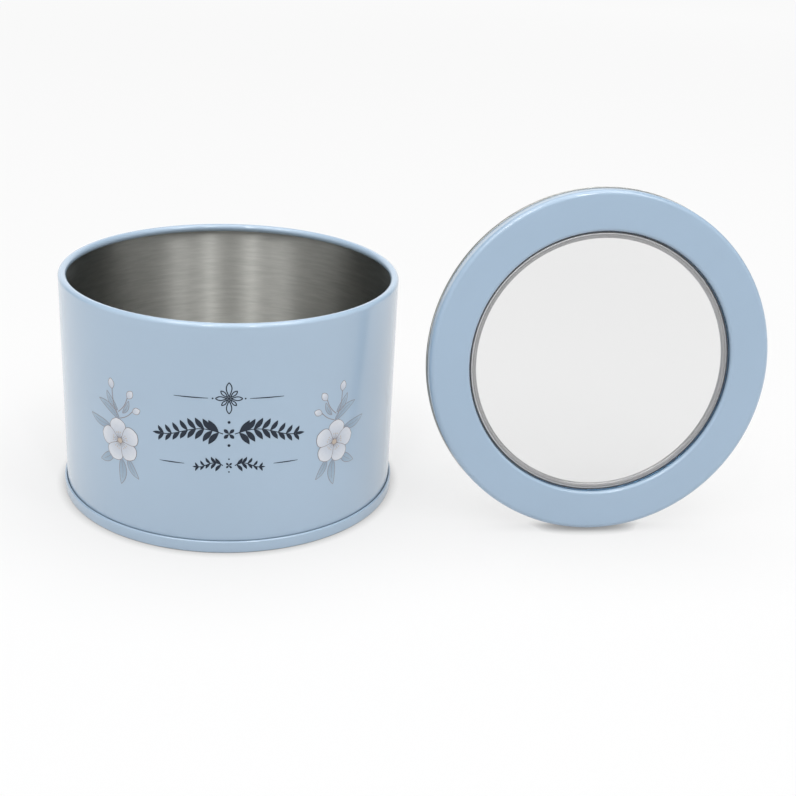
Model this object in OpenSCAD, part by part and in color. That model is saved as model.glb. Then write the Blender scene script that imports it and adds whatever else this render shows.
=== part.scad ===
// Round sheet-metal tin with a loose slip-over lid that has a clear window.
// The origin is the centre of the tin's base, on the table. The tin's front faces -Y.
// The lid stands on its edge beside the tin, in +X, and leans back with its face to -Y.

/* [Tin] */
// Outer diameter of the tin's wall
tin_d = 100; // [80:1:130]
// Height of the tin, from the table to the top of its rolled rim
tin_h = 68; // [40:1:110]
// Thickness of the tinplate
sheet = 0.25; // [0.22:0.01:0.3]
// Outer radius of the inward curl at the rim
curl_r = 1; // [0.8:0.1:1.5]
// Height of the double seam round the base
seam_h = 3.6; // [3:0.1:4.5]
// Height of the bottom panel over the table
panel_z = 3.1; // [2.8:0.1:3.6]
// Distance of the bottom panel's expansion bead from the wall
bead_inset = 10; // [4:1:25]

/* [Lid] */
// Depth of the lid, from its face to the edge of its skirt
lid_depth = 6; // [6:0.5:12]
// Radial clearance of the lid's skirt round the tin's wall
lid_gap = 0.15; // [0.08:0.01:0.3]
// Radius of the rounded shoulder between the lid's face and its skirt
shoulder_r = 1.5; // [1:0.1:2.5]
// Height of the hem folded outwards at the edge of the skirt
hem_h = 1.2; // [0.8:0.1:2]
// Width of the painted ring, from the skirt to the window opening
face_w = 11.6; // [9:0.2:20]

/* [Window] */
// Thickness of the clear pane
pane_t = 0.4; // [0.3:0.05:0.6]
// Width of bare steel that shows between the opening and the clear pane
ring_shows = 1.9; // [1.8:0.1:4]
// Thickness of the film of adhesive that holds the steel ring
glue_t = 0.1; // [0.05:0.01:0.2]

/* [Placing] */
// Gap between the foot of the tin and the lid beside it
side_gap = 5; // [2:0.1:40]
// Distance of the lid's face in front of the tin's axis
lid_front = 33.8; // [0:0.2:60]
// Angle at which the lid leans back
lid_lean = 8; // [0:1:20]

/* [Hidden] */

paint = "#a9bfd6";
tinplate = "#a8a8a2";

// sides of a full turn about the axis, and of a circle in the section
turn_fn = 120;
bend_fn = 36;

// gap left between plies that are pressed together
ply_gap = 0.02;
ply_step = sheet + ply_gap;
wall_out = tin_d / 2;
wall_in = wall_out - sheet;

// the seam's rollers press the foot of the wall in a little, up to just over the seam
foot_out = wall_out - ply_gap;
foot_in = foot_out - sheet;
foot_rise = 0.4;
foot_top = seam_h + foot_rise;

// the double seam, in plies from the inside out: bottom, wall, bottom's hook, wall's hook, bottom
chuck_out = foot_in - ply_gap;
chuck_in = chuck_out - sheet;
cover_hook_in = foot_out + ply_gap;
body_hook_in = cover_hook_in + ply_step;
cover_in = body_hook_in + ply_step;
seam_out = cover_in + sheet;
body_turn_r = (body_hook_in + sheet - foot_in) / 2;
body_turn_z = sheet + ply_gap + body_turn_r;
hook_turn_r = (seam_out - cover_hook_in) / 2;
hook_turn_z = seam_h - hook_turn_r;
hook_lap = 0.25;
compound_h = 0.45;
body_hook_top = hook_turn_z - compound_h;
tight_r = 0.2;
foot_turn_r = tight_r + sheet;

// the raised ring in the bottom panel, and the corner between panel and countersink
bead_r = 1;
bead_at_r = wall_out - bead_inset;
panel_corner_r = 0.8;
panel_turn_r = panel_corner_r + sheet;

// the curl turns from the wall over the top and back under, to just short of a full turn
curl_quarters = [0, 1, 2, 2.2];

// the lock seam down the inside of the wall, on the right, and the line that it leaves outside
lock_w = 3;
lock_t = 3 * sheet;
lock_turn = -6;
lock_line = 0.2;
lock_clear = 0.5;
lock_foot = foot_top + lock_clear;
lock_top = tin_h - 2 * curl_r - lock_clear;

// the lid, drawn with its axis upright and the edge of its skirt at height 0
skirt_in = wall_out + lid_gap;
skirt_out = skirt_in + sheet;
hem_gap = 0.04;
hem_turn_r = sheet + hem_gap / 2;
hem_mid_r = skirt_out + hem_gap / 2;
hem_out = skirt_out + hem_gap + sheet;
face_under = lid_depth - sheet;
window_r = skirt_out - face_w;
edge_turn_r = 0.9;
edge_run = 0.45;
edge_foot = lid_depth - edge_turn_r - edge_run;

// the pane lies under the turned edge, in the seat of the steel ring
pane_top = edge_foot - ply_gap;
seat_top = pane_top - pane_t;
pane_lap = 4.4;
pane_r = window_r + pane_lap;
step_r = 0.4;
step_turn_r = step_r + sheet;
step_in = pane_r + step_r;
ring_top = face_under - glue_t;
ring_out = skirt_out - shoulder_r + sheet;
lip_r = 0.5;
lip_in = window_r - ring_shows;
line_r = 0.3;
line_inset = 1.65;
line_at_r = lip_in + line_inset;
glue_inset = 0.2;
glue_in = step_in + step_turn_r + glue_inset;
glue_edge = 1.5;
glue_out = ring_out - glue_edge;

// the hem stands on the table when the lid leans back
lid_x = seam_out + side_gap + hem_out;
face_z = hem_mid_r * cos(lid_lean) + (lid_depth - hem_turn_r) * sin(lid_lean) + hem_turn_r;

// a straight run of sheet in the section, from one corner to the other
module ply(r0, z0, r1, z1) {
    translate([r0, z0])
        square([r1 - r0, z1 - z0]);
}

// a bend in the section: a ring of sheet, cut to the quarters that it turns through
module bend(r, z, outer, quarters) {
    translate([r, z])
        intersection() {
            difference() {
                circle(outer, $fn = bend_fn);
                circle(outer - sheet, $fn = bend_fn);
            }
            for (q = quarters)
                rotate(90 * q)
                    square(outer + 1);
        }
}

// half of a ring of sheet, as a rib pressed up (side 0) or a line pressed down (side 1)
module pressed_line(r, z, outer, side) {
    translate([r, z])
        intersection() {
            difference() {
                circle(outer, $fn = bend_fn);
                circle(outer - sheet, $fn = bend_fn);
            }
            translate([-2 * outer, -4 * outer * side])
                square(4 * outer);
        }
}

module revolved() {
    rotate_extrude($fn = turn_fn)
        children();
}

// the curl at the rim, the wall, and the hook in the double seam
module wall_section() {
    bend(wall_out - curl_r, tin_h - curl_r, curl_r, curl_quarters);
    ply(wall_in, foot_top, wall_out, tin_h - curl_r);
    ply(foot_in, body_turn_z, foot_out, foot_top);
    bend(foot_in + body_turn_r, body_turn_z, body_turn_r, [2, 3]);
    ply(body_hook_in, body_turn_z, body_hook_in + sheet, body_hook_top);
}

// the flat fold inside the wall, where the ends of the sheet hook together
module lock_fold() {
    rotate(lock_turn)
        translate([wall_in - lock_t, -lock_w / 2, lock_foot])
            cube([lock_t + sheet / 2, lock_w, lock_top - lock_foot]);
}

module lock_groove() {
    rotate(lock_turn)
        translate([wall_out - sheet / 3, -lock_line / 2, lock_foot])
            cube([sheet, lock_line, lock_top - lock_foot]);
}

module tin_wall() {
    color(paint)
        difference() {
            union() {
                revolved()
                    wall_section();
                lock_fold();
            }
            lock_groove();
        }
}

// the pressed bottom: panel, expansion bead, countersink and the hook of the double seam
module bottom_section() {
    ply(0, panel_z - sheet, bead_at_r - bead_r + sheet / 2, panel_z);
    pressed_line(bead_at_r, panel_z - sheet, bead_r, 0);
    ply(bead_at_r + bead_r - sheet / 2, panel_z - sheet, chuck_out - panel_turn_r, panel_z);
    bend(chuck_out - panel_turn_r, panel_z - panel_turn_r, panel_turn_r, [0]);
    ply(chuck_in, foot_turn_r, chuck_out, panel_z - panel_turn_r);
    bend(chuck_in + foot_turn_r, foot_turn_r, foot_turn_r, [2]);
    ply(chuck_in + foot_turn_r, 0, seam_out - foot_turn_r, sheet);
    bend(seam_out - foot_turn_r, foot_turn_r, foot_turn_r, [3]);
    ply(cover_in, foot_turn_r, seam_out, hook_turn_z);
    bend(seam_out - hook_turn_r, hook_turn_z, hook_turn_r, [0, 1]);
    ply(cover_hook_in, body_turn_z + hook_lap, cover_hook_in + sheet, hook_turn_z);
}

module tin_bottom() {
    color(paint)
        revolved()
            bottom_section();
}

// the ring of sealing compound over the end of the wall's hook
module seam_compound() {
    color("#6f6a60")
        revolved()
            ply(cover_hook_in + sheet, body_hook_top, cover_in, hook_turn_z);
}

// the lid: hem, skirt, shoulder, face and the turned edge of the window opening
module lid_section() {
    ply(skirt_out + hem_gap, hem_turn_r, hem_out, hem_h);
    bend(hem_mid_r, hem_turn_r, hem_turn_r, [2, 3]);
    ply(skirt_in, hem_turn_r, skirt_out, lid_depth - shoulder_r);
    bend(skirt_out - shoulder_r, lid_depth - shoulder_r, shoulder_r, [0]);
    ply(window_r + edge_turn_r, face_under, skirt_out - shoulder_r, lid_depth);
    bend(window_r + edge_turn_r, lid_depth - edge_turn_r, edge_turn_r, [1]);
    ply(window_r, edge_foot, window_r + sheet, lid_depth - edge_turn_r);
}

// the steel ring: flange under the face, step, seat for the pane, pressed line and turned lip
module ring_section() {
    ply(step_in + step_turn_r, ring_top - sheet, ring_out, ring_top);
    bend(step_in + step_turn_r, ring_top - step_turn_r, step_turn_r, [1]);
    ply(step_in, seat_top + step_r, step_in + sheet, ring_top - step_turn_r);
    bend(pane_r, seat_top + step_r, step_turn_r, [3]);
    ply(line_at_r + line_r, seat_top - sheet, pane_r, seat_top);
    pressed_line(line_at_r, seat_top, line_r + sheet, 1);
    ply(lip_in + lip_r, seat_top - sheet, line_at_r - line_r, seat_top);
    bend(lip_in + lip_r, seat_top - lip_r, lip_r, [1]);
    ply(lip_in, seat_top - 2 * lip_r, lip_in + sheet, seat_top - lip_r);
}

// leans a piece of the lid back and stands it on the table beside the tin
module placed_lid() {
    translate([lid_x, -lid_front, face_z])
        rotate([90 - lid_lean, 0, 0])
            translate([0, 0, -lid_depth])
                children();
}

module lid_shell() {
    color(paint)
        placed_lid()
            revolved()
                lid_section();
}

module window_pane() {
    color("#eef2f4", 0.35)
        placed_lid()
            translate([0, 0, seat_top])
                cylinder(h = pane_t, r = pane_r, $fn = turn_fn);
}

module window_ring() {
    color(tinplate)
        placed_lid()
            revolved()
                ring_section();
}

module pane_glue() {
    color("#d8d4c4")
        placed_lid()
            revolved()
                ply(glue_in, ring_top, glue_out, face_under);
}

tin_wall();
tin_bottom();
seam_compound();
lid_shell();
window_pane();
window_ring();
pane_glue();
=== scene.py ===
import math

import bmesh
import bpy
from mathutils import Matrix, Vector


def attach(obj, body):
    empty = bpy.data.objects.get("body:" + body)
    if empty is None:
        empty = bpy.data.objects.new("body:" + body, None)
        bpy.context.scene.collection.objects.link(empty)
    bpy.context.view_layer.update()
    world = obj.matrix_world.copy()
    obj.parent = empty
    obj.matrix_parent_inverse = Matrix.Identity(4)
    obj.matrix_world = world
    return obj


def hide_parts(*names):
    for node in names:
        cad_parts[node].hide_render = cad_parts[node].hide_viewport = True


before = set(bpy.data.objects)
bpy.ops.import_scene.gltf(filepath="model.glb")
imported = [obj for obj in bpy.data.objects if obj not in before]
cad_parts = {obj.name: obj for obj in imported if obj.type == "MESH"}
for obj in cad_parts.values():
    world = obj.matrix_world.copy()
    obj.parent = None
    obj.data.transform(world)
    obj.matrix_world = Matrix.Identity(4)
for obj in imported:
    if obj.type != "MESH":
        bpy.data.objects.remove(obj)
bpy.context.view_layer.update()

mm = 0.001
scene = bpy.context.scene


def addObject(name, data):
    made = bpy.data.objects.new(name, data)
    scene.collection.objects.link(made)
    return made


# camera: fitted to the rim, the crease, the seam and the lid's edges
view = {
    "location": (0.0, -0.3665, 0.1819),
    "yaw": 8.13,
    "pitch": 22.82,
    "roll": 3.354,
    "lens": 57.57,
    "nearest": 0.01,
}


def makeCamera(look):
    yaw, pitch, roll = (math.radians(look[key]) for key in ("yaw", "pitch", "roll"))
    forward = Vector((math.sin(yaw) * math.cos(pitch), math.cos(yaw) * math.cos(pitch), -math.sin(pitch)))
    right = Vector((math.cos(yaw), -math.sin(yaw), 0))
    up = right.cross(forward)
    cameraX = math.cos(roll) * right + math.sin(roll) * up
    cameraY = -math.sin(roll) * right + math.cos(roll) * up
    data = bpy.data.cameras.new("photoCamera")
    data.lens = look["lens"]
    data.sensor_width = 36
    data.clip_start = look["nearest"]
    camera = addObject("photoCamera", data)
    turn = Matrix((cameraX, cameraY, -forward)).transposed().to_4x4()
    camera.matrix_world = Matrix.Translation(look["location"]) @ turn
    scene.camera = camera


makeCamera(view)
scene.view_settings.view_transform = "Standard"
print("stage 1: camera")


# nodes: a value is a number, a colour or the socket of another node
def feed(tree, socket, value):
    if isinstance(value, bpy.types.NodeSocket):
        tree.links.new(value, socket)
    else:
        socket.default_value = value


def addNode(tree, kind, **values):
    node = tree.nodes.new(kind)
    for key, value in values.items():
        if hasattr(node, key):
            setattr(node, key, value)
        else:
            feed(tree, node.inputs[key.replace("_", " ")], value)
    return node


def emptyTree(owner):
    owner.use_nodes = True
    owner.node_tree.nodes.clear()
    return owner.node_tree


def calculate(tree, operation, *values):
    node = addNode(tree, "ShaderNodeMath", operation=operation)
    for socket, value in zip(node.inputs, values):
        feed(tree, socket, value)
    return node.outputs[0]


def mapTo(tree, value, low, high, fromLow=0.0, fromHigh=1.0, smooth=False):
    node = addNode(tree, "ShaderNodeMapRange", interpolation_type="SMOOTHSTEP" if smooth else "LINEAR",
                   Value=value, From_Min=fromLow, From_Max=fromHigh, To_Min=low, To_Max=high)
    return node.outputs["Result"]


def mixed(tree, factor, first, second):
    node = addNode(tree, "ShaderNodeMix", data_type="FLOAT", Factor=factor, A=first, B=second)
    return node.outputs["Result"]


def split(tree, vector):
    return addNode(tree, "ShaderNodeSeparateXYZ", Vector=vector).outputs


def joined(tree, x, y, z):
    return addNode(tree, "ShaderNodeCombineXYZ", X=x, Y=y, Z=z).outputs["Vector"]


def lengthOf(tree, vector):
    return addNode(tree, "ShaderNodeVectorMath", operation="LENGTH", Vector=vector).outputs["Value"]


def scaled(tree, vector, factor):
    node = addNode(tree, "ShaderNodeVectorMath", operation="SCALE", Vector=vector, Scale=factor)
    return node.outputs["Vector"]


def stretched(tree, vector, factors):
    node = addNode(tree, "ShaderNodeVectorMath", operation="MULTIPLY", Vector=vector)
    node.inputs[1].default_value = factors
    return node.outputs["Vector"]


def objectCoordinates(tree, toLocal=None):
    coords = tree.nodes.new("ShaderNodeTexCoord").outputs["Object"]
    if toLocal is None:
        return coords
    place, turn, _ = toLocal.decompose()
    mapping = addNode(tree, "ShaderNodeMapping", vector_type="POINT", Vector=coords, Location=place,
                      Rotation=turn.to_euler())
    return mapping.outputs["Vector"]


def openness(tree, reach):
    return addNode(tree, "ShaderNodeAmbientOcclusion", samples=8, Distance=reach).outputs["AO"]


def seenDirectly(tree, *names):
    path = tree.nodes.new("ShaderNodeLightPath")
    last = path.outputs["Is Camera Ray"]
    for name in names:
        last = calculate(tree, "MAXIMUM", last, path.outputs[name])
    return last


# floor, world and lamps
studio = {
    "floorRadius": 6.0,
    "floorColour": 0.67,  # for the light that it throws back
    "floorSeen": 0.13,  # for the camera and in reflections, where its glow makes it white
    "floorLift": (0.80, 0.89),
    "liftReach": (0.25, 1.6),
    "paintedContactShadows": ((0.003, 0.35), (0.05, 0.8)),  # reach and darkest of the painted contact shadows
    "worldStrength": 0.416,
    "horizonTo": (0.5, 0.7),
    "skyLow": {"front": 0.9, "side": 0.08, "back": 1.0},
    "skyHigh": {"front": 0.85, "back": 0.02},
    "skyTurn": (-0.35, 0.25),
    "sideFrom": (-0.22, 0.2),
    "sideTo": (0.6, 0.86),
    "aim": (0.03, 0.0, 0.03),
    "distance": 1.1,
    # name, azimuth to the right of the camera's side, elevation, width, height, power, seen in reflections
    "lamps": (
        ("leftStrip", -20.5, 52, 0.05, 0.5, 2.0, True),
        ("rightStrip", 16.5, 52, 0.05, 0.5, 2.0, True),
        ("leftSoft", -50, 55, 0.2, 0.5, 1.85, True),
        ("rightSoft", 46, 55, 0.16, 0.5, 1.8, True),
        ("leftSide", -85, 30, 0.5, 0.5, 1.8, False),
        ("rightSide", 85, 30, 0.5, 0.5, 2.15, False),
        ("overhead", 180, 84, 1.1, 0.8, 6.3, True),
    ),
}


def makeFloor(look):
    paper = bpy.data.materials.new("floorPaper")
    tree = emptyTree(paper)
    seen = seenDirectly(tree, "Is Glossy Ray", "Is Transmission Ray")
    surface = addNode(tree, "ShaderNodeBsdfDiffuse",
                      Color=mapTo(tree, seen, look["floorColour"], look["floorSeen"]))
    # the glow evens the paper out, and is weaker close to a piece, which paints a contact shadow round it
    near, wide = (mapTo(tree, openness(tree, reach), darkest, 1.0) for reach, darkest in look["paintedContactShadows"])
    even = mapTo(tree, lengthOf(tree, objectCoordinates(tree)), *look["floorLift"], *look["liftReach"])
    lift = calculate(tree, "MULTIPLY", calculate(tree, "MULTIPLY", near, wide),
                     calculate(tree, "MULTIPLY", seen, even))
    glow = addNode(tree, "ShaderNodeEmission", Strength=lift)
    both = tree.nodes.new("ShaderNodeAddShader")
    feed(tree, both.inputs[0], surface.outputs["BSDF"])
    feed(tree, both.inputs[1], glow.outputs["Emission"])
    addNode(tree, "ShaderNodeOutputMaterial", Surface=both.outputs[0])
    mesh = bpy.data.meshes.new("floor")
    bm = bmesh.new()
    bmesh.ops.create_circle(bm, cap_ends=True, segments=64, radius=look["floorRadius"])
    bm.to_mesh(mesh)
    bm.free()
    mesh.materials.append(paper)
    addObject("floor", mesh)


def makeWorld(look):
    world = bpy.data.worlds.new("studioWorld")
    scene.world = world
    tree = emptyTree(world)
    around = split(tree, tree.nodes.new("ShaderNodeTexCoord").outputs["Generated"])
    high = mapTo(tree, around["Z"], 0.0, 1.0, *look["horizonTo"], True)
    top, low = look["skyHigh"], look["skyLow"]
    upper = mapTo(tree, around["Y"], top["front"], top["back"], *look["skyTurn"], True)
    # the room's sides are dark, so that the ends of the steel inside stay dark
    before = mapTo(tree, around["Y"], low["front"], low["side"], *look["sideFrom"], True)
    behind = mapTo(tree, around["Y"], low["side"], low["back"], *look["sideTo"], True)
    sky = mixed(tree, high, calculate(tree, "MAXIMUM", before, behind), upper)
    ray = tree.nodes.new("ShaderNodeLightPath")
    lit = mixed(tree, ray.outputs["Is Glossy Ray"], look["worldStrength"], sky)
    strength = calculate(tree, "MAXIMUM", lit, seenDirectly(tree, "Is Transmission Ray"))
    light = addNode(tree, "ShaderNodeBackground", Color=(1, 1, 1, 1), Strength=strength)
    addNode(tree, "ShaderNodeOutputWorld", Surface=light.outputs["Background"])


def makeLamps(look):
    for name, azimuth, elevation, width, height, power, mirrored in look["lamps"]:
        lamp = bpy.data.lights.new(name, "AREA")
        lamp.shape = "RECTANGLE"
        lamp.size = width
        lamp.size_y = height
        lamp.energy = power
        side, rise = math.radians(azimuth), math.radians(elevation)
        away = Vector((math.sin(side) * math.cos(rise), -math.cos(side) * math.cos(rise), math.sin(rise)))
        stand = addObject(name, lamp)
        stand.visible_glossy = mirrored
        stand.location = Vector(look["aim"]) + away * look["distance"]
        stand.rotation_euler = (-away).to_track_quat("-Z", "Y").to_euler()


makeFloor(studio)
makeWorld(studio)
makeLamps(studio)
print("stage 2: floor, world and lamps")

# where the lid stands, in mm: its own axis is local z, the edge of its skirt is at 0
lidPlace = {"x": 106.48, "front": 33.8, "faceZ": 50.9968, "lean": 8, "depth": 6.0}


def lidMatrix(place):
    return (
        Matrix.Translation(Vector((place["x"], -place["front"], place["faceZ"])) * mm)
        @ Matrix.Rotation(math.radians(90 - place["lean"]), 4, "X")
        @ Matrix.Translation((0, 0, -place["depth"] * mm))
    )


lidToWorld = lidMatrix(lidPlace)
toLid = lidToWorld.inverted()


# materials
def principled(name, look, metallic=0.0, **sockets):
    material = bpy.data.materials.new(name)
    tree = emptyTree(material)
    shader = addNode(tree, "ShaderNodeBsdfPrincipled", Base_Color=(*look["colour"], 1),
                     Roughness=look["roughness"], Metallic=metallic, **sockets)
    addNode(tree, "ShaderNodeOutputMaterial", Surface=shader.outputs["BSDF"])
    return material, tree, shader


def grain(tree, coords, size, detail, roughness=0.5):
    node = addNode(tree, "ShaderNodeTexNoise", Vector=coords, Scale=size, Detail=detail, Roughness=roughness)
    return node.outputs["Fac"]


def varyColour(tree, shader, colour, factor):
    feed(tree, shader.inputs["Base Color"], scaled(tree, colour, factor))


def varyRoughness(tree, shader, look, noise):
    low, high = (look["roughness"] + off for off in look["roughSpread"])
    feed(tree, shader.inputs["Roughness"], mapTo(tree, noise, low, high))


def relief(tree, shader, noise, strength, depth):
    bump = addNode(tree, "ShaderNodeBump", Height=noise, Strength=strength, Distance=depth)
    feed(tree, shader.inputs["Normal"], bump.outputs["Normal"])


paintLook = {
    "colour": (0.343, 0.452, 0.572),
    "roughness": 0.38,
    "roughSpread": (-0.03, 0.05),
    "coat": 1.0,
    "coatRoughness": 0.15,
    "mottle": 0.035,
    "mottleSize": 28.0,
    # painted shade: the paint is darkened where surfaces come close, in creases and round the window's edge
    "creaseReach": 0.0008,  # in metres, as all depths are
    "paintedCreaseShade": 0.45,
    "creaseFrom": (0.3, 0.75),
    "peelSize": 900.0,
    "peelStrength": 0.25,
    "peelDepth": 0.00002,
}
lidPaintLook = {**paintLook, "colour": (0.305, 0.415, 0.54)}


def satinPaint(name, look, toLocal=None):
    material, tree, shader = principled(name, look, Coat_Weight=look["coat"],
                                        Coat_Roughness=look["coatRoughness"])
    coords = objectCoordinates(tree, toLocal)
    cloud = grain(tree, coords, look["mottleSize"], 3.0)
    spread = mapTo(tree, cloud, 1 - look["mottle"], 1 + look["mottle"])
    # painted shade: darker where an occlusion node finds nearby surfaces, in creases and at the opening's
    # edge
    crease = mapTo(tree, openness(tree, look["creaseReach"]), look["paintedCreaseShade"], 1.0, *look["creaseFrom"])
    varyColour(tree, shader, look["colour"], calculate(tree, "MULTIPLY", spread, crease))
    varyRoughness(tree, shader, look, cloud)
    relief(tree, shader, grain(tree, coords, look["peelSize"], 2.0), look["peelStrength"], look["peelDepth"])
    return material


steelLook = {
    "colour": (0.50, 0.50, 0.475),
    "roughness": 0.45,
    "anisotropy": 1.0,
    "edgeTint": (0.18, 0.27, 0.29),
    "glossTurn": 0.25,  # in turns: the lines run round the axis and draw the gloss out along it
    "lineSize": 5200.0,
    "lineRound": 0.012,  # how little the lines change on their way round
    "lineTone": (0.9, 1.08),
    "lineStrength": 0.3,
    "lineDepth": 0.00003,
    "streak": 0.11,
    "streakSize": 1000.0,
    "streakShape": (0.13, 0.13, 1.0),
    "streakFrom": (0.25, 0.75),
    "highlightAndDarkLines": (),
}
ringLook = {
    **steelLook,
    "colour": (0.52, 0.52, 0.53),
    "roughness": 0.38,
    "anisotropy": 0.0,
    "edgeTint": (1.0, 1.0, 1.0),
    "streak": 0.0,
    "highlightAndDarkLines": ((37.97, 0.22, 2.2), (37.55, 0.14, 0.6)),  # radius and width in mm, and tone: a painted highlight line and a darker line
    "shadeFrom": (38.1, 38.45),  # radius in mm
    "shade": (0.03, 0.085, 0.16),
}


def brushedSteel(name, look, toLocal=None):
    material, tree, shader = principled(name, look, 1.0, Anisotropic=look["anisotropy"],
                                        Anisotropic_Rotation=look["glossTurn"],
                                        Specular_Tint=(*look["edgeTint"], 1))
    coords = objectCoordinates(tree, toLocal)
    inPlane = stretched(tree, coords, (1, 1, 0))
    radius = lengthOf(tree, inPlane)
    # the lines are noise on radius and height, with a slow change round the axis
    slow = split(tree, scaled(tree, inPlane, look["lineRound"]))
    along = calculate(tree, "ADD", split(tree, coords)["Z"], radius)
    brush = grain(tree, joined(tree, slow["X"], slow["Y"], along), look["lineSize"], 4.0, 0.65)
    relief(tree, shader, brush, look["lineStrength"], look["lineDepth"])
    tone = mapTo(tree, brush, *look["lineTone"])
    if look["streak"]:
        # short streaks that the rollers left along the sheet
        streaks = grain(tree, stretched(tree, coords, look["streakShape"]), look["streakSize"], 3.0, 0.6)
        uneven = mapTo(tree, streaks, 1 - look["streak"], 1 + look["streak"], *look["streakFrom"])
        tone = calculate(tree, "MULTIPLY", tone, uneven)
    # lines painted into the ring's colour by radius: a painted highlight that lightens it, and a darker line
    for at, width, strength in look["highlightAndDarkLines"]:
        off = calculate(tree, "ABSOLUTE", calculate(tree, "SUBTRACT", radius, at * mm))
        tone = calculate(tree, "MULTIPLY", tone, mapTo(tree, off, strength, 1.0, 0.0, width * mm, True))
    colour = scaled(tree, look["colour"], tone)
    if "shade" in look:
        # under the edge of the opening the ring is in shade and takes the colour of the paint
        shade = mapTo(tree, radius, 0.0, 1.0, *(r * mm for r in look["shadeFrom"]), True)
        under = addNode(tree, "ShaderNodeMix", data_type="RGBA", Factor=shade)
        feed(tree, under.inputs[6], colour)
        feed(tree, under.inputs[7], (*look["shade"], 1))
        colour = under.outputs[2]
    feed(tree, shader.inputs["Base Color"], colour)
    return material


paneLook = {"colour": (0.85, 0.85, 0.85), "roughness": 0.02, "ior": 1.49}
compoundLook = {
    "colour": (0.16, 0.145, 0.12),
    "roughness": 0.6,
    "roughSpread": (-0.08, 0.1),
    "tone": (0.85, 1.12),
    "lumpSize": 2600.0,
    "lumpStrength": 0.4,
    "lumpDepth": 0.00004,
}
glueLook = {
    **compoundLook,
    "colour": (0.70, 0.66, 0.55),
    "roughness": 0.3,
    "lumpSize": 700.0,
    "lumpDepth": 0.00002,
}


# the compound and the adhesive, which are spread wet and set with small lumps
def setFilling(name, look):
    material, tree, shader = principled(name, look)
    lumps = grain(tree, objectCoordinates(tree), look["lumpSize"], 3.0)
    varyColour(tree, shader, look["colour"], mapTo(tree, lumps, *look["tone"]))
    varyRoughness(tree, shader, look, lumps)
    relief(tree, shader, lumps, look["lumpStrength"], look["lumpDepth"])
    return material


wallPaint = satinPaint("wallPaint", paintLook)
lidPaint = satinPaint("lidPaint", lidPaintLook, toLid)
insideSteel = brushedSteel("insideSteel", steelLook)
lidSteel = brushedSteel("lidSteel", steelLook, toLid)
ringSteel = brushedSteel("ringSteel", ringLook, toLid)
paneClear, _, _ = principled("paneClear", paneLook, IOR=paneLook["ior"], Transmission_Weight=1.0)
compoundGrey = setFilling("compoundGrey", compoundLook)
glueClear = setFilling("glueClear", glueLook)
print("stage 3: materials")


# Geometry Nodes: one tree turns a sheet's section about its axis, another wraps the print
def newGroup(name, inputs, output):
    tree = bpy.data.node_groups.new(name, "GeometryNodeTree")
    for label, kind in inputs.items():
        tree.interface.new_socket(label, in_out="INPUT", socket_type="NodeSocket" + kind)
    tree.interface.new_socket(output, in_out="OUTPUT", socket_type="NodeSocketGeometry")
    given = tree.nodes.new("NodeGroupInput").outputs
    return tree, given, tree.nodes.new("NodeGroupOutput").inputs[output]


def socketOf(tree, name):
    return next(i.identifier for i in tree.interface.items_tree if i.name == name and i.in_out == "INPUT")


# gives the mesh that a tree makes of a rough object, and removes that object
def madeBy(tree, rough, settings):
    modifier = rough.modifiers.new(tree.name, "NODES")
    modifier.node_group = tree
    for name, value in settings.items():
        modifier[socketOf(tree, name)] = value
    evaluated = rough.evaluated_get(bpy.context.evaluated_depsgraph_get())
    mesh = bpy.data.meshes.new_from_object(evaluated)
    rough.modifiers.clear()
    bpy.data.objects.remove(rough)
    return mesh


def nextStep(tree, kind, geometry, **values):
    return addNode(tree, kind, Geometry=geometry, **values).outputs["Geometry"]


sheetSides = ("Outside", "Inside", "Cut Edge")
outside, inside, cutEdge = range(3)


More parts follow.
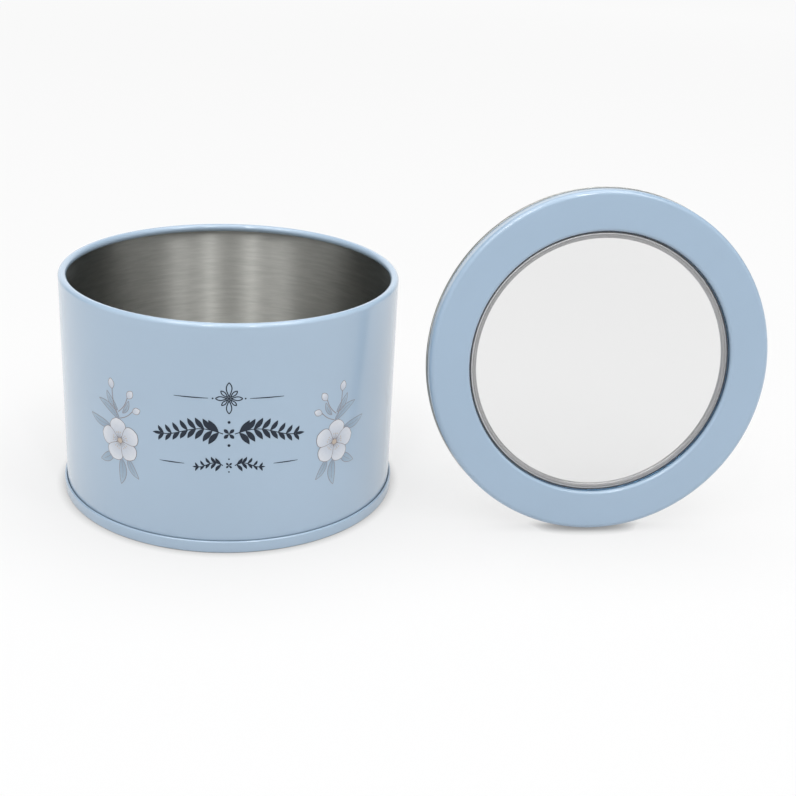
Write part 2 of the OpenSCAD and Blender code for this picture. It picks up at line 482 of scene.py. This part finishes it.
def turnedSheetTree():
    inputs = {"Section": "Geometry", "Segments": "Int", "Closed": "Int"}
    inputs.update({side: "Material" for side in sheetSides})
    tree, given, result = newGroup("turnedSheet", inputs, "Sheet")
    section, segments = given["Section"], given["Segments"]
    points = addNode(tree, "GeometryNodeAttributeDomainSize", Geometry=section).outputs["Point Count"]
    # a column of the grid is a point of the section, a row is a step of the turn
    rows = calculate(tree, "ADD", segments, 1)
    columns = calculate(tree, "ADD", points, given["Closed"])
    grid = addNode(tree, "GeometryNodeMeshGrid", Vertices_X=columns, Vertices_Y=rows).outputs["Mesh"]
    index = tree.nodes.new("GeometryNodeInputIndex").outputs[0]
    middle = calculate(tree, "ADD", index, 0.5)
    column = calculate(tree, "FLOOR", calculate(tree, "DIVIDE", middle, rows))
    step = calculate(tree, "SUBTRACT", index, calculate(tree, "MULTIPLY", column, rows))
    wrapped = calculate(tree, "MODULO", calculate(tree, "ADD", column, 0.01), points)
    position = tree.nodes.new("GeometryNodeInputPosition").outputs[0]
    sample = addNode(tree, "GeometryNodeSampleIndex", data_type="FLOAT_VECTOR", Geometry=section,
                     Value=position, Index=calculate(tree, "FLOOR", wrapped))
    part = split(tree, sample.outputs[0])
    turn = calculate(tree, "DIVIDE", calculate(tree, "MODULO", step, segments), segments)
    angle = calculate(tree, "MULTIPLY", turn, 2 * math.pi)
    x = calculate(tree, "MULTIPLY", part["X"], calculate(tree, "COSINE", angle))
    y = calculate(tree, "MULTIPLY", part["X"], calculate(tree, "SINE", angle))
    sheet = nextStep(tree, "GeometryNodeSetPosition", grid, Position=joined(tree, x, y, part["Z"]))
    # each face takes the finish of its stretch of the section
    finish = addNode(tree, "GeometryNodeInputNamedAttribute", data_type="INT", Name="finish")
    faceColumn = calculate(tree, "FLOOR", calculate(tree, "DIVIDE", middle, segments))
    sampleFinish = addNode(tree, "GeometryNodeSampleIndex", data_type="INT", Geometry=section,
                           Value=finish.outputs["Attribute"], Index=faceColumn)
    sheet = nextStep(tree, "GeometryNodeStoreNamedAttribute", sheet, data_type="INT", domain="FACE",
                     Name="side", Value=sampleFinish.outputs[0])
    sheet = nextStep(tree, "GeometryNodeMergeByDistance", sheet, Distance=1e-6)
    sheet = nextStep(tree, "GeometryNodeSetShadeSmooth", sheet)
    sheet = nextStep(tree, "GeometryNodeRealizeInstances", sheet)
    side = addNode(tree, "GeometryNodeInputNamedAttribute", data_type="INT", Name="side")
    for number, name in enumerate(sheetSides):
        same = addNode(tree, "FunctionNodeCompare", data_type="INT", operation="EQUAL")
        feed(tree, same.inputs[2], side.outputs["Attribute"])
        feed(tree, same.inputs[3], number)
        sheet = nextStep(tree, "GeometryNodeSetMaterial", sheet, Selection=same.outputs[0],
                         Material=given[name])
    feed(tree, result, sheet)
    return tree


turnedSheet = turnedSheetTree()
sharpFrom = math.radians(35)  # between faces, from which an edge is sharp


# angles are in degrees
def polar(at, angle, distance):
    turn = math.radians(angle)
    return at[0] + distance * math.cos(turn), at[1] + distance * math.sin(turn)


# a section is a path of straight runs and bends down the middle of the sheet, in mm
def arc(r, z, radius, start, end, step=12):
    steps = max(2, int(abs(end - start) / step))
    return [polar((r, z), start + (end - start) * i / steps, radius) for i in range(steps + 1)]


def run(start, end, steps=1):
    return [(start[0] + (end[0] - start[0]) * i / steps, start[1] + (end[1] - start[1]) * i / steps)
            for i in range(steps + 1)]


def sideways(before, after):
    along = Vector((after[0] - before[0], after[1] - before[1])).normalized()
    return Vector((-along.y, along.x))


def withoutDoubles(path):
    kept = [path[0]]
    for point in path[1:]:
        if math.dist(point, kept[-1]) > 1e-4:
            kept.append(point)
    return kept


# left and right are the sides of the sheet along its path, in a drawing with the axis at its left
def sheetSection(path, thickness, leftFinish, rightFinish, onAxis=False):
    path = withoutDoubles(path)
    left, right = [], []
    for i, (r, z) in enumerate(path):
        side = sideways(path[max(0, i - 1)], path[min(len(path) - 1, i + 1)]) * thickness / 2
        if onAxis and i == 0:
            side = Vector((0, thickness / 2))
        left.append((r + side.x, z + side.y))
        right.append((r - side.x, z - side.y))
    points = right + left[::-1]
    finishes = [rightFinish] * (len(right) - 1) + [cutEdge] + [leftFinish] * (len(left) - 1) + [cutEdge]
    return points, finishes


def turned(name, section, segments, materials, onAxis=False, place=None):
    points, finishes = section
    edges = [(i, i + 1) for i in range(len(points) - 1)]
    outline = bpy.data.meshes.new(name + "Section")
    outline.from_pydata([(r * mm, 0, z * mm) for r, z in points], edges, [])
    outline.attributes.new("finish", "INT", "POINT").data.foreach_set("value", finishes)
    settings = {"Segments": segments, "Closed": 0 if onAxis else 1, **dict(zip(sheetSides, materials))}
    mesh = madeBy(turnedSheet, addObject(name + "Section", outline), settings)
    mesh.name = name
    bm = bmesh.new()
    bm.from_mesh(mesh)
    bmesh.ops.recalc_face_normals(bm, faces=bm.faces)
    bm.to_mesh(mesh)
    bm.free()
    mesh.set_sharp_from_angle(angle=sharpFrom)
    if place is not None:
        mesh.transform(place)
    print("  ", name, len(mesh.polygons), "faces")
    return addObject(name, mesh)


tin = {
    "sheet": 0.25,
    "out": 50.0,
    "height": 68.0,
    "curl": 1.2,
    "curlEnd": 288,
    "foot": 49.98,
    "footTop": 4.0,
    "footBend": (0.4, -0.2),  # where the wall eases in, over and under the top of its foot
    "hook": 50.395,
    "hookTop": 2.755,
    "turnZ": 0.665,
    "rows": 40,
    "segments": 320,
}


def wallPath(size):
    half = size["sheet"] / 2
    middle = size["out"] - half
    curlAt = (size["out"] - size["curl"], size["height"] - size["curl"])
    bendTop, bendFoot = (size["footTop"] + rise for rise in size["footBend"])
    foot = size["foot"] - half
    turnR = (size["hook"] - foot) / 2
    return (arc(*curlAt, size["curl"] - half, size["curlEnd"], 0, 9)
            + run((middle, curlAt[1]), (middle, bendTop), size["rows"])
            + run((foot, bendFoot), (foot, size["turnZ"]), 2)
            + arc(foot + turnR, size["turnZ"], turnR, 180, 360)
            + [(size["hook"], size["hookTop"])])


wall = turned("wall", sheetSection(wallPath(tin), tin["sheet"], outside, inside), tin["segments"],
              (wallPaint, insideSteel, insideSteel))

bottom = {
    "panelZ": 2.975,
    "beadR": 40.0,
    "bead": 0.875,
    "beadEnds": (172, 8),
    "beadFoot": 1.1,
    "chuck": 49.585,
    "corner": 0.925,
    "turn": 0.325,
    "out": 50.665,
    "hookIn": 50.125,
    "seamTop": 3.205,
    "hookFoot": 0.915,
}


def bottomPath(size, half):
    panelZ, turn = size["panelZ"], size["turn"]
    cornerAt = (size["chuck"] - size["corner"], panelZ - size["corner"])
    hookR = (size["out"] - size["hookIn"]) / 2
    return (run((0, panelZ), (size["beadR"] - size["beadFoot"], panelZ), 6)
            + arc(size["beadR"], panelZ - half, size["bead"], *size["beadEnds"], 10)
            + run((size["beadR"] + size["beadFoot"], panelZ), (cornerAt[0], panelZ), 3)
            + arc(*cornerAt, size["corner"], 90, 0)
            + arc(size["chuck"] + turn, half + turn, turn, 180, 270)
            + arc(size["out"] - turn, half + turn, turn, 270, 360)
            + arc(size["out"] - hookR, size["seamTop"], hookR, 0, 180)
            + [(size["hookIn"], size["hookFoot"])])


bottomSection = sheetSection(bottomPath(bottom, tin["sheet"] / 2), tin["sheet"], inside, outside, onAxis=True)
base = turned("base", bottomSection, tin["segments"], (wallPaint, insideSteel, insideSteel), onAxis=True)

lid = {
    "hemR": 50.565,
    "hemTop": 1.2,
    "hemMid": 50.42,
    "hemTurn": 0.27,
    "skirt": 50.275,
    "shoulderAt": (48.9, 4.5),
    "shoulder": 1.375,
    "face": 5.875,
    "edgeAt": (39.7, 5.1),
    "edge": 0.775,
    "edgeFoot": 4.65,
    "segments": 320,
}


def lidPath(size):
    shoulderAt, edgeAt, face = size["shoulderAt"], size["edgeAt"], size["face"]
    return (run((size["hemR"], size["hemTop"]), (size["hemR"], size["hemTurn"]), 2)
            + arc(size["hemMid"], size["hemTurn"], size["hemR"] - size["hemMid"], 0, -180)
            + run((size["skirt"], size["hemTurn"]), (size["skirt"], shoulderAt[1]), 4)
            + arc(*shoulderAt, size["shoulder"], 0, 90, 7)
            + run((shoulderAt[0], face), (edgeAt[0], face), 6)
            + arc(*edgeAt, size["edge"], 90, 180, 7)
            + [(edgeAt[0] - size["edge"], size["edgeFoot"])])


lidShell = turned("lidShell", sheetSection(lidPath(lid), tin["sheet"], inside, outside), lid["segments"],
                  (lidPaint, lidSteel, lidSteel), place=lidToWorld)

ring = {
    "flangeOut": 49.15,
    "flangeZ": 5.525,
    "stepAt": (44.25, 5.0),
    "stepR": 0.525,
    "seatCorner": (43.2, 4.63),
    "seatZ": 4.105,
    "lineR": 38.55,
    "lineHalf": 0.7,
    "lineDepth": 0.4,
    "lineSteps": 14,
    "lipAt": (37.1, 3.73),
    "lipR": 0.375,
    "lipFoot": 3.23,
}


def ringPath(size):
    stepAt, lipAt, half, steps = size["stepAt"], size["lipAt"], size["lineHalf"], size["lineSteps"]
    pressedLine = [(size["lineR"] + half - 2 * half * i / steps,
                    size["seatZ"] - size["lineDepth"] * math.sin(math.pi * i / steps) ** 2)
                   for i in range(steps + 1)]
    return (run((size["flangeOut"], size["flangeZ"]), (stepAt[0], size["flangeZ"]), 3)
            + arc(*stepAt, size["stepR"], 90, 180)
            + arc(*size["seatCorner"], size["stepR"], 0, -90)
            + pressedLine
            + arc(*lipAt, size["lipR"], 90, 180)
            + [(lipAt[0] - size["lipR"], size["lipFoot"])])


lidRing = turned("lidRing", sheetSection(ringPath(ring), tin["sheet"], inside, outside), lid["segments"],
                 (ringSteel, lidSteel, lidSteel), place=lidToWorld)

pane = {"radius": 43.2, "bottom": 4.23, "top": 4.63, "edge": 0.05, "segments": 160}


def paneSection(size):
    radius, foot, top, edge = size["radius"], size["bottom"], size["top"], size["edge"]
    points = [(0, foot), (radius - edge, foot), (radius, foot + edge),
              (radius, top - edge), (radius - edge, top), (0, top)]
    return points, [outside] * len(points)


clearPane = turned("clearPane", paneSection(pane), pane["segments"], (paneClear, paneClear, paneClear),
                   onAxis=True, place=lidToWorld)
print("stage 4: tin, lid and window")

# the flat fold inside the wall, where the ends of the sheet hook together
lock = {
    "turn": -6,
    "width": 3.0,
    "depth": 0.75,
    "round": 0.25,
    "sunk": 0.1,
    "foot": 4.5,
    "top": 65.5,
    "rows": 40,
    "lineWidth": 0.2,  # of the fine line that it leaves outside
}


def makeLockFold(size, inner):
    edge, corner, depth, sunk = size["width"] / 2, size["round"], size["depth"], size["sunk"]
    profile = [(-edge, -sunk)]
    profile += arc(-edge + corner, depth - corner, corner, 180, 90, 15)
    profile += run((-edge + corner, depth), (edge - corner, depth), 6)[1:-1]
    profile += arc(edge - corner, depth - corner, corner, 90, 0, 15) + [(edge, -sunk)]
    outward = Vector((*polar((0, 0), size["turn"], 1), 0))
    across = Vector((-outward.y, outward.x, 0))
    bm = bmesh.new()
    rows = []
    for _, z in run((0, size["foot"]), (0, size["top"]), size["rows"]):
        rows.append([bm.verts.new((outward * (inner - deep) + across * along + Vector((0, 0, z))) * mm)
                     for along, deep in profile])
    for low, high in zip(rows, rows[1:]):
        for i in range(len(profile)):
            n = (i + 1) % len(profile)
            bm.faces.new((low[i], low[n], high[n], high[i]))
    bm.faces.new(rows[0])
    bm.faces.new(rows[-1])
    bmesh.ops.recalc_face_normals(bm, faces=bm.faces)
    for face in bm.faces:
        face.smooth = True
    mesh = bpy.data.meshes.new("lockFold")
    bm.to_mesh(mesh)
    bm.free()
    mesh.set_sharp_from_angle(angle=sharpFrom)
    mesh.materials.append(insideSteel)
    return addObject("lockFold", mesh)


lockFold = makeLockFold(lock, tin["out"] - tin["sheet"])

# the print: drawn flat in mm, along the wall from its front and up from the table, then wrapped round it
inks = {
    "navy": (0.010, 0.018, 0.034),
    "petal": (0.66, 0.68, 0.72),
    "petalShade": (0.45, 0.50, 0.58),
    "heart": (0.50, 0.43, 0.36),
    "line": (0.27, 0.235, 0.235),
    "leaf": (0.335, 0.435, 0.535),
    "leafShade": (0.26, 0.345, 0.44),
    "lockLine": (0.17, 0.23, 0.31),
}
inkLook = {**paintLook, "specular": 0.2, "coat": 0.25, "speckSize": 1500.0, "speck": (0.94, 1.06)}
printPlace = {
    "lift": 0.02,
    "layer": 0.004,  # from one ink to the next over it
    "centre": -0.4,
    "ornamentAt": 47.0,
    "garlandAt": 36.6,
    "lowerAt": 27.1,
    "sprigs": ((-32.6, 30.0, 1), (31.0, 30.0, -1)),  # along, up, and 1 or -1 for the mirrored one
    "fineLine": 0.15,
    "veinLine": 0.105,
    "stemLine": 0.22,
    "navyLine": 0.3,
    "garlandLine": 0.26,
}
drawing = {"points": [], "faces": [], "inks": []}


def ribbon(path, widths, start, end, layer, across=2):
    first = len(drawing["points"])
    last = len(path) - 1
    closed = math.dist(path[0], path[-1]) < 1e-6
    for i, point in enumerate(path):
        before = path[last - 1] if closed and i == 0 else path[max(0, i - 1)]
        after = path[1] if closed and i == last else path[min(last, i + 1)]
        side = sideways(before, after)
        ink = [a + (b - a) * i / last for a, b in zip(inks[start], inks[end])]
        for j in range(across + 1):
            off = side * widths[i] * (j / across - 0.5)
            drawing["points"].append((point[0] + off.x, point[1] + off.y, layer * printPlace["layer"]))
            drawing["inks"].append(ink)
    row = across + 1
    for i in range(last):
        for j in range(across):
            a = first + i * row + j
            drawing["faces"].append((a, a + row, a + row + 1, a + 1))


def stroke(path, width, ink, layer):
    ribbon(path, [width] * len(path), ink, ink, layer)


def bow(start, end, lift, steps=12):
    side = sideways(start, end) * lift
    path = []
    for i, (x, y) in enumerate(run(start, end, steps)):
        rise = math.sin(math.pi * i / steps)
        path.append((x + side.x * rise, y + side.y * rise))
    return path


# a leaf or petal, widest at its peak, filled and with its outline and vein where they have an ink
def blade(foot, angle, length, width, layer, start, end, peak=0.45, blunt=0.8, bend=0.0,
          line=None, vein=None, fill=True, steps=16):
    path = bow(foot, polar(foot, angle, length), bend, steps)
    power = math.log(0.5) / math.log(peak)
    widths = [max(0.03, width * math.sin(math.pi * (i / steps) ** power) ** blunt) for i in range(steps + 1)]
    if fill:
        ribbon(path, widths, start, end, layer, 4)
    if vein:
        stroke(path[1:steps - 3], printPlace["veinLine"], vein, layer + 1)
    if line:
        left, right = [], []
        for i, (x, y) in enumerate(path):
            side = sideways(path[max(0, i - 1)], path[min(steps, i + 1)]) * widths[i] / 2
            left.append((x + side.x, y + side.y))
            right.append((x - side.x, y - side.y))
        thick = printPlace["fineLine"] if fill else printPlace["navyLine"]
        stroke(left + right[::-1] + left[:1], thick, line, layer + 1)


def dot(at, radius, layer, ink, rim=None):
    middle = [polar(at, angle, radius / 2) for angle in range(0, 361, 30)]
    stroke(middle, radius, ink, layer)
    if rim:
        stroke([(2 * x - at[0], 2 * y - at[1]) for x, y in middle], printPlace["fineLine"], rim, layer + 1)


sprig = {
    # foot, tip and how far it bows
    "stems": (
        ((0.5, 5.5), (-2.4, 15.2), 0.9),
        ((-0.4, 8.6), (3.0, 13.6), -0.5),
        ((0.2, 6.8), (4.6, 9.8), -0.4),
    ),
    # foot, angle, length, width and bend
    "leaves": (
        ((-0.6, 9.0), 128, 6.2, 1.9, 0.5),
        ((0.0, 6.4), 150, 8.8, 2.2, -0.7),
        ((-3.5, 3.6), 168, 8.0, 2.4, 0.6),
        ((-2.6, -4.2), 215, 6.4, 2.6, 0.5),
        ((0.2, -5.4), 268, 8.0, 2.6, 0.6),
        ((2.6, -4.8), 302, 6.6, 2.0, -0.5),
        ((1.2, 8.6), 62, 4.6, 1.3, -0.4),
    ),
    "bud": (3.0, 2.1),
    # foot, angle and size, in buds
    "buds": (((-2.4, 15.0), 100, 1.0), ((3.0, 13.4), 55, 0.95), ((4.6, 9.6), 25, 0.9)),
    "petals": 5,
    "firstPetal": 100,
    "petalFoot": 0.5,
    "petal": (6.2, 5.6),
    "stamens": ((-16, 1.98), (0, 2.3), (16, 1.98)),  # angle off the petal's middle, and end
    "stamenFrom": (0.7, 1.4),
    "stamenLine": 0.1,
    "pollenAt": 2.5,
    "pollen": 0.2,
    "heart": 0.85,
}


def drawSprig(look, at, mirror):
    def spot(point):
        return at[0] + mirror * point[0], at[1] + point[1]

    def way(angle):
        return angle if mirror > 0 else 180 - angle

    for start, end, lift in look["stems"]:
        stroke(bow(spot(start), spot(end), lift * mirror), printPlace["stemLine"], "line", 1)
    for foot, angle, length, width, bend in look["leaves"]:
        blade(spot(foot), way(angle), length, width, 1, "leafShade", "leaf", bend=bend * mirror,
              line="line", vein="line")
    length, width = look["bud"]
    for foot, angle, size in look["buds"]:
        blade(spot(foot), way(angle), length * size, width * size, 3, "petalShade", "petal", 0.5, 0.7,
              line="line")
    length, width = look["petal"]
    for k in range(look["petals"]):
        angle = way(look["firstPetal"] + 360 / look["petals"] * k)
        blade(polar(at, angle, look["petalFoot"]), angle, length, width, 5 + 2 * k, "petalShade", "petal",
              0.62, 0.62, line="line")
        for off, end in look["stamens"]:
            stamen = [polar(at, angle + off, r) for r in (*look["stamenFrom"], end)]
            stroke(stamen, look["stamenLine"], "line", 16)
            dot(polar(at, angle + off, look["pollenAt"]), look["pollen"], 17, "heart")
    dot(at, look["heart"], 18, "heart", "line")


ornament = {
    # angle, length and width of each outlined petal
    "petals": ((90, 4.1, 1.5), (270, 3.9, 1.4), (0, 3.1, 1.1), (180, 3.1, 1.1),
               (45, 2.6, 0.9), (135, 2.6, 0.9), (225, 2.3, 0.8), (315, 2.3, 0.8)),
    "petalFoot": 0.5,
    "heart": 0.4,
    "besides": ((-4.4, 0.25), (4.4, 0.25)),
}


def drawOrnament(look, x, y):
    for angle, length, width in look["petals"]:
        blade(polar((x, y), angle, look["petalFoot"]), angle, length, width, 2, "navy", "navy", 0.6, 0.8,
              line="navy", fill=False)
    dot((x, y), look["heart"], 4, "navy")
    for off, radius in look["besides"]:
        dot((x + off, y), radius, 4, "navy")


# the rules start and end at these distances from the middle
rules = {"thin": 0.12, "swell": 0.2, "steps": 14, "upper": (5.6, 15.0), "lower": (12.3, 19.4)}


def drawRules(look, near, far, x, y):
    steps = look["steps"]
    widths = [look["thin"] + look["swell"] * math.sin(math.pi * i / steps) for i in range(steps + 1)]
    for side in (-1, 1):
        ends = sorted((x + side * near, x + side * far))
        ribbon(run((ends[0], y), (ends[1], y), steps), widths, "navy", "navy", 2)


garland = {
    "start": 1.6,
    "wave": 0.28,
    "steps": 30,
    "lean": 52,
    "bend": 0.22,
    "narrow": 0.36,
    "shrink": 0.45,
    "tip": (0.6, 0.2),
    "knot": (0.42, 0.22),
    "dots": (0.75, 0.09),
    # reach to each side, pairs of leaves, and the first leaf's length, which the other sizes are parts of
    "upper": (18.5, 8, 4.6),
    "lower": (8.4, 5, 2.6),
}


def drawGarland(look, reach, pairs, size, x, y):
    start, steps = look["start"], look["steps"]
    for side in (-1, 1):
        path = []
        for i in range(steps + 1):
            t = i / steps
            wave = size * look["wave"] * math.sin(math.pi * 1.5 * t)
            path.append((x + side * (start + (reach - start) * t), y + wave))
        stroke(path, printPlace["garlandLine"], "navy", 2)
        forward = 0 if side > 0 else 180
        for k in range(pairs):
            spot = path[2 + int((steps - 3) * k / (pairs - 1))]
            length = size * (1 - look["shrink"] * k / pairs)
            for lean in (-1, 1):
                blade(spot, forward + look["lean"] * lean * side, length, length * look["narrow"], 3, "navy",
                      "navy", 0.5, 0.9, bend=-look["bend"] * lean * side)
        blade(path[-1], forward, size * look["tip"][0], size * look["tip"][1], 3, "navy", "navy")
    for k in range(4):
        blade((x, y), 45 + 90 * k, size * look["knot"][0], size * look["knot"][1], 3, "navy", "navy", 0.6)
    off, radius = look["dots"]
    for side in (1, -1):
        dot((x, y + side * size * off), size * radius, 3, "navy")


def drawPrint(place):
    centre = place["centre"]
    for along, up, mirror in place["sprigs"]:
        drawSprig(sprig, (along, up), mirror)
    drawOrnament(ornament, centre, place["ornamentAt"])
    drawRules(rules, *rules["upper"], centre, place["ornamentAt"])
    drawGarland(garland, *garland["upper"], centre, place["garlandAt"])
    drawGarland(garland, *garland["lower"], centre, place["lowerAt"])
    drawRules(rules, *rules["lower"], centre, place["lowerAt"])
    lockAt = tin["out"] * math.radians(90 + lock["turn"])
    stroke(run((lockAt, lock["foot"]), (lockAt, lock["top"]), 60), lock["lineWidth"], "lockLine", 0)


def printMaterial(look):
    material, tree, shader = principled("printInk", look, Specular_IOR_Level=look["specular"],
                                        Coat_Weight=look["coat"], Coat_Roughness=look["coatRoughness"])
    ink = addNode(tree, "ShaderNodeAttribute", attribute_name="ink").outputs["Color"]
    speck = grain(tree, objectCoordinates(tree), look["speckSize"], 2.0)
    varyColour(tree, shader, ink, mapTo(tree, speck, *look["speck"]))
    return material


def wrapPrintTree():
    inputs = {"Print": "Geometry", "Radius": "Float", "Ink": "Material"}
    tree, given, result = newGroup("wrapPrint", inputs, "Wrapped")
    flat = split(tree, tree.nodes.new("GeometryNodeInputPosition").outputs[0])
    angle = calculate(tree, "DIVIDE", flat["X"], given["Radius"])
    out = calculate(tree, "ADD", given["Radius"], flat["Z"])
    x = calculate(tree, "MULTIPLY", out, calculate(tree, "SINE", angle))
    behind = calculate(tree, "MULTIPLY", out, calculate(tree, "COSINE", angle))
    place = joined(tree, x, calculate(tree, "MULTIPLY", behind, -1.0), flat["Y"])
    ink = nextStep(tree, "GeometryNodeSetPosition", given["Print"], Position=place)
    ink = nextStep(tree, "GeometryNodeSetShadeSmooth", ink)
    ink = nextStep(tree, "GeometryNodeRealizeInstances", ink)
    feed(tree, result, nextStep(tree, "GeometryNodeSetMaterial", ink, Material=given["Ink"]))
    return tree


def makePrint(place, wallRadius):
    drawPrint(place)
    flat = bpy.data.meshes.new("wallPrintFlat")
    flat.from_pydata([(x * mm, y * mm, z * mm) for x, y, z in drawing["points"]], [], drawing["faces"])
    colours = [value for colour in drawing["inks"] for value in (*colour, 1.0)]
    flat.attributes.new("ink", "FLOAT_COLOR", "POINT").data.foreach_set("color", colours)
    settings = {"Radius": (wallRadius + place["lift"]) * mm, "Ink": printMaterial(inkLook)}
    mesh = madeBy(wrapPrintTree(), addObject("wallPrintFlat", flat), settings)
    print("   wallPrint", len(mesh.polygons), "faces")
    return addObject("wallPrint", mesh)


wallPrint = makePrint(printPlace, tin["out"])
print("stage 5: lock seam and print")

for piece, body, node, slot in (
    (wall, "tin", "tin_wall", "wall_paint"),
    (base, "tin", "tin_bottom", "bottom_paint"),
    (lidShell, "lid", "lid_shell", "lid_paint"),
    (lidRing, "lid", "window_ring", "ring_steel"),
    (clearPane, "lid", "window_pane", "clear_pane"),
):
    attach(piece, body)
    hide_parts(node)

for piece in (lockFold, wallPrint):
    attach(piece, "tin")

for node, material in (("seam_compound", compoundGrey), ("pane_glue", glueClear)):
    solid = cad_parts[node]
    solid.data.materials.clear()
    solid.data.materials.append(material)
print("stage 6: pieces ride on their bodies")
